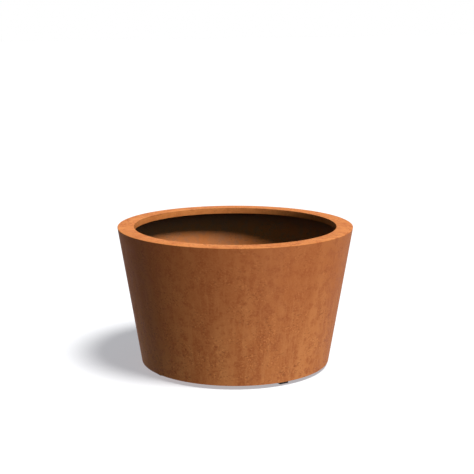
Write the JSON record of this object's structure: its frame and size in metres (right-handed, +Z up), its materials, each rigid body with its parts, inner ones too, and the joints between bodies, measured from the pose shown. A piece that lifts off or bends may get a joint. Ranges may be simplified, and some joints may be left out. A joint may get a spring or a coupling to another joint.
{
  "type": "cone planter",
  "caption": "Round planter of weathering steel: a tapered wall, a flat rim with a down-turned lip, a raised base with drain holes, and rubber pads under it.",
  "frame": {"origin": "on the ground, on the planter's axis", "axes": "+Z up along the planter's axis; X and Y along the two crossed ribs under the base, so the pads stand on +X, +Y, -X and -Y, with -Y the front"},
  "size_m": [1.1993, 1.1994, 0.72],
  "materials": {
    "weathering_steel": "stable orange-brown rust, matt and finely mottled",
    "weld_metal": "rusted weld bead, darker than the sheet",
    "pad_rubber": "matt black rubber",
    "fastener_steel": "stainless"
  },
  "bodies": {
    "root": {"wall": "weathering_steel", "rim_ring": "weathering_steel", "rim_lip": "weathering_steel", "base_plate": "weathering_steel", "base_rib_x": "weathering_steel", "base_rib_y": "weathering_steel", "foot_plate_right": "weathering_steel", "foot_plate_back": "weathering_steel", "foot_plate_left": "weathering_steel", "foot_plate_front": "weathering_steel", "wall_seam_weld": "weld_metal", "lip_seam_weld": "weld_metal", "rim_corner_welds": "weld_metal", "lip_welds": "weld_metal", "base_welds": "weld_metal", "rib_welds": "weld_metal", "rib_end_welds": "weld_metal", "foot_plate_welds": "weld_metal", "foot_pad_right": "pad_rubber", "foot_pad_back": "pad_rubber", "foot_pad_left": "pad_rubber", "foot_pad_front": "pad_rubber", "foot_screws": "fastener_steel", "foot_nuts": "fastener_steel"}
  },
  "joints": []
}
